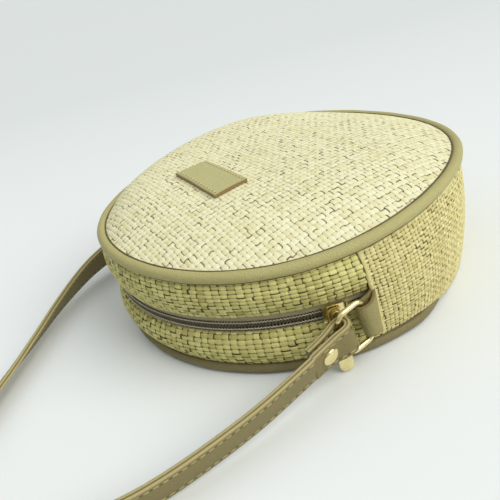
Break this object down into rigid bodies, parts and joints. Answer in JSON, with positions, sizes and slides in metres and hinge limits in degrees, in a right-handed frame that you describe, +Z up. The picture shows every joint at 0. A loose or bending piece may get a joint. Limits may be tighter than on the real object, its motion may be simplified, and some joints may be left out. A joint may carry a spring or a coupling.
{
  "type": "circle bag",
  "caption": "Round woven straw shoulder bag with leather piping, a zip round its edge, wire rings on leather tabs, a riveted flat strap and a bare leather patch.",
  "frame": {"origin": "centre of the flat back, which lies on the table", "axes": "+Z up through the crowned front, zip centred on -Y, +X to the end where the zip closes"},
  "size_m": [0.1978, 0.3715, 0.065],
  "materials": {
    "straw": "matt woven flat straw",
    "tan_leather": "fine-grained, satin",
    "lining_cloth": "plain woven cloth",
    "piping_core": "twisted cord",
    "zip_tape": "woven tape",
    "zip_coil": "dark coil",
    "gold_metal": "polished pale gold",
    "board": "matt board"
  },
  "bodies": {
    "bag": {"back_panel": "straw", "front_panel": "straw", "base_gusset": "straw", "zip_gusset_back": "straw", "zip_gusset_right_end": "straw", "zip_gusset_left_end": "straw", "back_piping": "tan_leather", "front_piping": "tan_leather", "right_ring_tab": "tan_leather", "left_ring_tab": "tan_leather", "label_patch": "tan_leather", "strap_face": "tan_leather", "strap_backing": "tan_leather", "back_lining": "lining_cloth", "front_lining": "lining_cloth", "base_lining": "lining_cloth", "zip_lining_back": "lining_cloth", "back_piping_cord": "piping_core", "front_piping_cord": "piping_core", "back_zip_tape": "zip_tape", "front_zip_tape_right": "zip_tape", "front_zip_tape_left": "zip_tape", "back_zip_coil": "zip_coil", "front_zip_coil_right": "zip_coil", "zip_top_stop_back": "gold_metal", "zip_top_stop_front": "gold_metal", "zip_bottom_stop": "gold_metal", "back_stiffener": "board"},
    "mouth_flap": {"flap_piping": "tan_leather", "flap_piping_cord": "piping_core", "flap_panel": "straw", "flap_lining": "lining_cloth", "flap_gusset": "straw", "flap_zip_lining": "lining_cloth", "flap_zip_tape": "zip_tape", "flap_zip_coil": "zip_coil"},
    "zip_slider": {"zip_slider": "gold_metal"},
    "zip_puller": {"zip_puller": "gold_metal"},
    "right_ring": {"right_ring": "gold_metal", "right_strap_end": "tan_leather", "right_rivet_cap": "gold_metal", "right_rivet_back": "gold_metal"},
    "left_ring": {"left_ring": "gold_metal", "left_strap_end": "tan_leather", "left_rivet_cap": "gold_metal", "left_rivet_back": "gold_metal"}
  },
  "joints": [
    {"name": "mouth_fold", "type": "hinge", "parent": "bag", "child": "mouth_flap", "pos_m": [0, -0.044, 0.0615], "axis": [-1, 0, 0], "range_deg": [0, 50]},
    {"name": "zip_run", "type": "hinge", "parent": "bag", "child": "zip_slider", "pos_m": [0, 0, 0.0245], "axis": [0, 0, 1], "range_deg": [-106, 0]},
    {"name": "puller_swing", "type": "hinge", "parent": "zip_slider", "child": "zip_puller", "pos_m": [0.08513, -0.03354, 0.0245], "axis": [0.9214, -0.3629, 0.1392], "range_deg": [-95, 10]},
    {"name": "right_ring_swing", "type": "hinge", "parent": "bag", "child": "right_ring", "pos_m": [0.09438, -0.02485, 0.0218], "axis": [-0.0442, -0.1679, 0.9848], "range_deg": [-2, 60], "deforming": ["strap_face", "strap_backing"]},
    {"name": "left_ring_swing", "type": "hinge", "parent": "bag", "child": "left_ring", "pos_m": [-0.09438, -0.02485, 0.0218], "axis": [-0.0442, 0.1679, -0.9848], "range_deg": [0, 75], "deforming": ["strap_face", "strap_backing"]}
  ]
}
